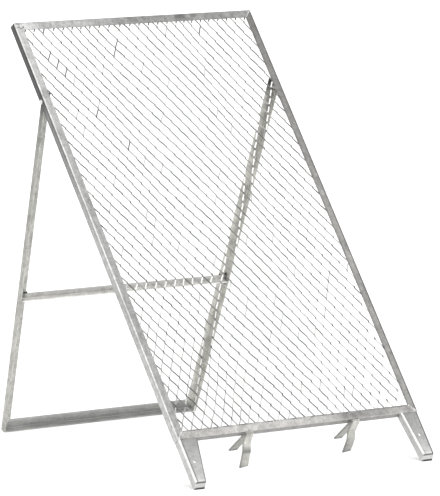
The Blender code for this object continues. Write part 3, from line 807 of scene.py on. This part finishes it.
# ---------------------------------------------------------------- welds and drops
CORNER_GLINT_DROPS = (                         # near-white drops, painted glints: (x, v, size)
    (-0.2850, 0.9915, 0.0018), (-0.2890, 0.9905, 0.0014), (-0.2970, 0.9900, 0.0019),
    (0.2925, 0.9935, 0.0017), (-0.2955, 0.0012, 0.0021), (0.2880, 0.0085, 0.0013),
    (0.2925, 0.0050, 0.0013), (-0.2860, 0.0160, 0.0015), (-0.2890, 0.0090, 0.0012),
)
CORNER_DARK_DROPS = (                         # dark: (x, v, size)
    (-0.2893, -0.0004, 0.0013), (-0.2836, 0.0168, 0.0013), (-0.2950, 0.9975, 0.0011),
)
SHADED_BEAD_PATH = (                            # dark bead at the top left corner, painted shadow at a weld's lower edge: (x, depth, v)
    (-0.2965, 0.0006, 0.9885), (-0.2905, 0.0004, 0.9868), (-0.2850, 0.0003, 0.9855),
    (-0.2815, 0.0003, 0.9868), (-0.2795, 0.0004, 0.9905),
)


def make_corner_weld(name, sign, height, inward, radius, material, draw):
    """Bead across a corner's face and down its outer edge, with spatter beside it."""
    bm = bmesh.new()
    inner = on_panel(sign * (HALF_WIDTH - RAIL_FACE), 0.0004, height + inward * RAIL_FACE)
    outer = on_panel(sign * (HALF_WIDTH - 0.0022), 0.0007, height + inward * 0.0022)
    edge = on_panel(sign * (HALF_WIDTH - 0.0012), 0.0022, height + inward * 0.0012)
    back = on_panel(sign * (HALF_WIDTH - 0.0009), RAIL_DEPTH - 0.001, height + inward * 0.0009)
    bead(bm, [inner, inner.lerp(outer, 0.55), outer, edge, back], radius)
    for _ in range(6):
        spread = draw.uniform(0.1, 1.0)
        spot = inner.lerp(outer, spread) + Vector((draw.uniform(-0.002, 0.002), 0, 0))
        blob(bm, spot + DEPTH * 0.0002, draw.uniform(0.0006, 0.0012), draw)
    new_piece(name, bm, material, "panel")


def make_frame_welds():
    draw = random.Random(3)
    material = weld_material("weld_bright", 0.92, 0.42)
    for side, sign in SIDES.items():
        make_corner_weld("frame_weld_top_" + side, sign, PANEL_LENGTH, -1, 0.0010, material, draw)
        make_corner_weld("frame_weld_bottom_" + side, sign, 0.0, 1, 0.0014, material, draw)
    bm = bmesh.new()
    # Near-white drops at the corners: painted glints.
    for x, v, size in CORNER_GLINT_DROPS:
        blob(bm, on_panel(x, 0.0008, v), size, draw)
    new_piece("corner_glint_drops", bm, weld_material("weld_painted_glint", 0.98, 0.80), "panel")
    bm = bmesh.new()
    # Dark bead: painted shadow at the lower edge of the corner weld.
    bead(bm, [on_panel(*place) for place in SHADED_BEAD_PATH], 0.0010)
    for x, v, size in CORNER_DARK_DROPS:
        blob(bm, on_panel(x, 0.0004, v), size, draw)
    new_piece("corner_dark_marks", bm, weld_material("weld_dark_mark", 0.40, 0.25), "panel")


def make_foot_welds():
    material = weld_material("weld_foot", 0.88, 0.50)
    for side, sign in SIDES.items():
        bm = bmesh.new()
        for inset, step in ((FOOT_OUTER[0], 0.004), (FOOT_INNER[side][0], -0.004)):
            x = sign * (HALF_WIDTH - inset)
            bead(bm, [on_panel(x - sign * step, 0.0006, 0.0002), on_panel(x, 0.0014, 0.0002),
                      on_panel(x, 0.0085, 0.0002)], 0.0010)
        new_piece("foot_weld_" + side, bm, material, "panel")


def make_hook_welds():
    """Beads around the strip's root, under the bottom rail."""
    for side, centre in HOOK_CENTRES.items():
        bm = bmesh.new()
        half = HOOK_WIDTH / 2 - 0.001
        bead(bm, [on_panel(centre - half, 0.0008, -0.0010),
                  on_panel(centre + half, 0.0008, -0.0010)], 0.0011)
        for k in (-1, 1):
            x = centre + k * HOOK_WIDTH / 2
            bead(bm, [on_panel(x, 0.003, -0.0004), on_panel(x, 0.015, -0.0004)], 0.0009)
        material = weld_material("weld_hook_" + side, 0.78 if side == "left" else 0.55, 0.35)
        new_piece("hook_weld_" + side, bm, material, "panel")


def make_stand_welds():
    draw = random.Random(8)
    material = weld_material("weld_stand", 0.80, 0.35)
    dark = weld_material("weld_crossbar", 0.26, 0.12)
    reach = LEG_TOP_X - LEG_TAPER * LEG_LENGTH
    cross = LEG_TOP_X - LEG_TAPER * CROSSBAR_DROP
    face = STAND_BACK - 2 * WALL         # front of the crossbar's upright flange
    rim = CROSSBAR_FACE - CROSSBAR_DROP + 0.0004
    for side, sign in SIDES.items():
        bm = bmesh.new()
        inner = on_stand(sign * (reach - STAND_FACE * 0.96), STAND_BACK - WALL - 0.0002,
                         STAND_FACE - LEG_LENGTH)
        root = on_stand(sign * (reach - WALL - 0.0008), STAND_BACK - WALL - 0.0002,
                        WALL + 0.0008 - LEG_LENGTH)
        front = on_stand(sign * (reach - WALL * 0.9), STAND_BACK - STAND_SIDE + 0.001,
                         WALL * 0.9 - LEG_LENGTH)
        bead(bm, [inner, root, front], 0.0010)
        new_piece("stand_corner_weld_" + side, bm, material, "stand")

        bm = bmesh.new()
        end = sign * (cross - CROSSBAR_END + 0.0004)
        bead(bm, [on_stand(end, face, CROSSBAR_FACE - CROSSBAR_DROP),
                  on_stand(end, face, WALL - CROSSBAR_DROP),
                  on_stand(end, STAND_BACK - STAND_SIDE * 0.8, WALL - CROSSBAR_DROP)], 0.0011)
        if side == "left":
            bead(bm, [on_stand(end, face + WALL * 0.8, rim),
                      on_stand(sign * (cross - STAND_FACE + 0.001), face + WALL * 0.8, rim)],
                 0.0012)
        for inset in (CROSSBAR_END, STAND_FACE):
            drop = on_stand(sign * (cross - inset), face + WALL * 0.6, rim + 0.0012)
            blob(bm, drop, 0.0019, draw)
        new_piece("crossbar_weld_" + side, bm, dark, "stand")


def make_mesh_tacks():
    """Dark drops where the sheet meets the frame's inner edges."""
    draw = random.Random(21)
    bm = bmesh.new()
    inner = HALF_WIDTH - RAIL_FACE
    v = BOND_V + BOND_PITCH_V
    while v < PANEL_LENGTH - RAIL_FACE:
        for sign in (-1, 1):
            spot = on_panel(sign * (inner + 0.0002), 0.0012, v + draw.uniform(-0.002, 0.002))
            blob(bm, spot, draw.uniform(0.0010, 0.0016) * (1 if sign < 0 else 0.7), draw)
        v += 2 * BOND_PITCH_V
    x = BOND_X + BOND_PITCH_X
    while x < inner:
        for height in (RAIL_FACE - 0.0002, PANEL_LENGTH - RAIL_FACE + 0.0002):
            if draw.random() < 0.85:
                spot = on_panel(x + draw.uniform(-0.001, 0.001), 0.0012, height)
                blob(bm, spot, draw.uniform(0.0008, 0.0014), draw)
        x += 2 * BOND_PITCH_X
    new_piece("sieve_tacks", bm, weld_material("weld_tack", 0.38, 0.22), "panel")


# ---------------------------------------------------------------- studio and camera
FLOOR_REACH = 60.0
WORLD_STRENGTH = 1.15
SUN_STRENGTH = 1.2
SUN_SPREAD = math.radians(80)
SUN_TURN = (math.radians(32), math.radians(-18), 0)
CAMERA_TARGET = Vector((0.00455, -0.05449, 0.42653))
CAMERA_POSITION = Vector((-5.49643, -8.05762, 1.69448))
CAMERA_ROLL = -0.00127
CAMERA_LENS = 342.05
CAMERA_SENSOR = 36


def make_studio():
    """White floor, white surroundings and a soft sun from above."""
    scene = bpy.context.scene
    mesh = bpy.data.meshes.new("floor")
    square = ((-1, -1), (1, -1), (1, 1), (-1, 1))
    corners = [(x * FLOOR_REACH, y * FLOOR_REACH, 0) for x, y in square]
    mesh.from_pydata(corners, [], [(0, 1, 2, 3)])
    mesh.materials.append(floor_material())
    floor = bpy.data.objects.new("floor", mesh)
    scene.collection.objects.link(floor)

    world = bpy.data.worlds.new("studio")
    world.use_nodes = True
    background = world.node_tree.nodes["Background"]
    background.inputs["Color"].default_value = (1, 1, 1, 1)
    background.inputs["Strength"].default_value = WORLD_STRENGTH
    scene.world = world

    sun = bpy.data.lights.new("soft_key", "SUN")
    sun.energy = SUN_STRENGTH
    sun.angle = SUN_SPREAD
    lamp = bpy.data.objects.new("soft_key", sun)
    lamp.rotation_euler = SUN_TURN
    scene.collection.objects.link(lamp)

    scene.view_settings.view_transform = "Standard"
    scene.view_settings.look = "None"
    scene.view_settings.exposure = 0
    scene.view_settings.gamma = 1


def make_camera():
    """Camera in front of the sieve, to its left and above it."""
    camera = bpy.data.cameras.new("camera")
    camera.sensor_fit = "VERTICAL"
    camera.sensor_height = CAMERA_SENSOR
    camera.lens = CAMERA_LENS
    camera.clip_end = 200
    holder = bpy.data.objects.new("camera", camera)
    holder.location = CAMERA_POSITION
    aim = (CAMERA_TARGET - CAMERA_POSITION).to_track_quat("-Z", "Y").to_matrix()
    holder.rotation_euler = (aim @ Matrix.Rotation(CAMERA_ROLL, 3, "Z")).to_euler()
    bpy.context.scene.collection.objects.link(holder)
    bpy.context.scene.camera = holder


make_camera()
make_studio()
dress_cad()
make_strands()
make_mesh_tacks()
make_frame_welds()
make_foot_welds()
make_hook_welds()
make_stand_welds()
